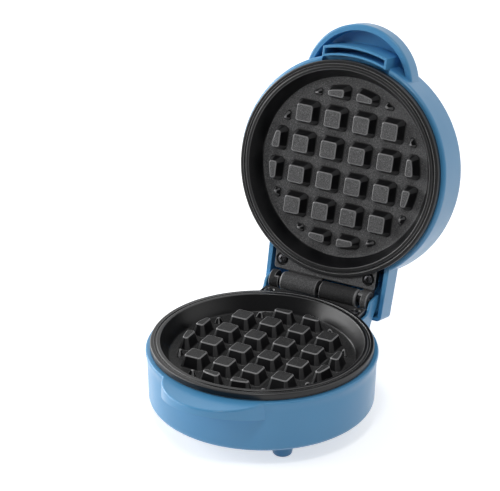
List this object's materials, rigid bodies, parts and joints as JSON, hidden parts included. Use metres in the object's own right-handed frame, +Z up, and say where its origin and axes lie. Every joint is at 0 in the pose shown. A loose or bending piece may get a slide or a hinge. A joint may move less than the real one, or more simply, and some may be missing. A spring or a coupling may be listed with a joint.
{
  "type": "waffle maker",
  "caption": "Small round electric waffle maker in glossy blue plastic, standing open, with dark non-stick grid plates, a half-ring lid handle and a front finger lip.",
  "frame": {"origin": "the middle of the footprint's bounding box, on the surface that the feet stand on, with the lid standing open at rest", "axes": "+Z up, +Y from the finger lip at the front towards the hinge, +X along the hinge pin to the right as seen from the front"},
  "size_m": [0.127, 0.2098, 0.1876],
  "materials": {
    "blue_plastic": "glossy",
    "non_stick_casting": "satin non-stick coating",
    "dark_steel": "blackened",
    "bright_steel": "bright zinc",
    "sheet_aluminium": "mill",
    "ceramic": "unglazed",
    "black_rubber": "matte",
    "smoked_lens": "smoked",
    "lamp_glass": "clear",
    "fibre_sleeve": "woven glass fibre"
  },
  "bodies": {
    "base": {"base_housing": "blue_plastic", "foot_front_left": "blue_plastic", "foot_front_right": "blue_plastic", "foot_rear_left": "blue_plastic", "foot_rear_right": "blue_plastic", "lower_grill_plate": "non_stick_casting", "lower_heating_element": "dark_steel", "lower_heat_shield": "sheet_aluminium", "lower_shield_screw": "bright_steel", "lower_hinge_screw_left": "dark_steel", "lower_hinge_screw_right": "dark_steel", "thermostat": "ceramic", "thermal_fuse": "bright_steel", "terminal_block": "ceramic", "lower_lead_left": "fibre_sleeve", "lower_lead_right": "fibre_sleeve", "cord_gland": "black_rubber", "hinge_pin": "dark_steel", "front_case_screw": "bright_steel"},
    "lid": {"lid_housing": "blue_plastic", "indicator_lens": "smoked_lens", "indicator_lamp": "lamp_glass", "upper_lead_left": "fibre_sleeve", "upper_lead_right": "fibre_sleeve", "upper_grill_plate": "non_stick_casting", "upper_heating_element": "dark_steel", "upper_heat_shield": "sheet_aluminium", "upper_shield_screw": "bright_steel", "upper_hinge_screw_left": "dark_steel", "upper_hinge_screw_right": "dark_steel"}
  },
  "joints": [
    {"name": "lid_hinge", "type": "hinge", "parent": "base", "child": "lid", "pos_m": [0, 0.04197, 0.0456], "axis": [1, 0, 0], "range_deg": [0, 105]}
  ]
}
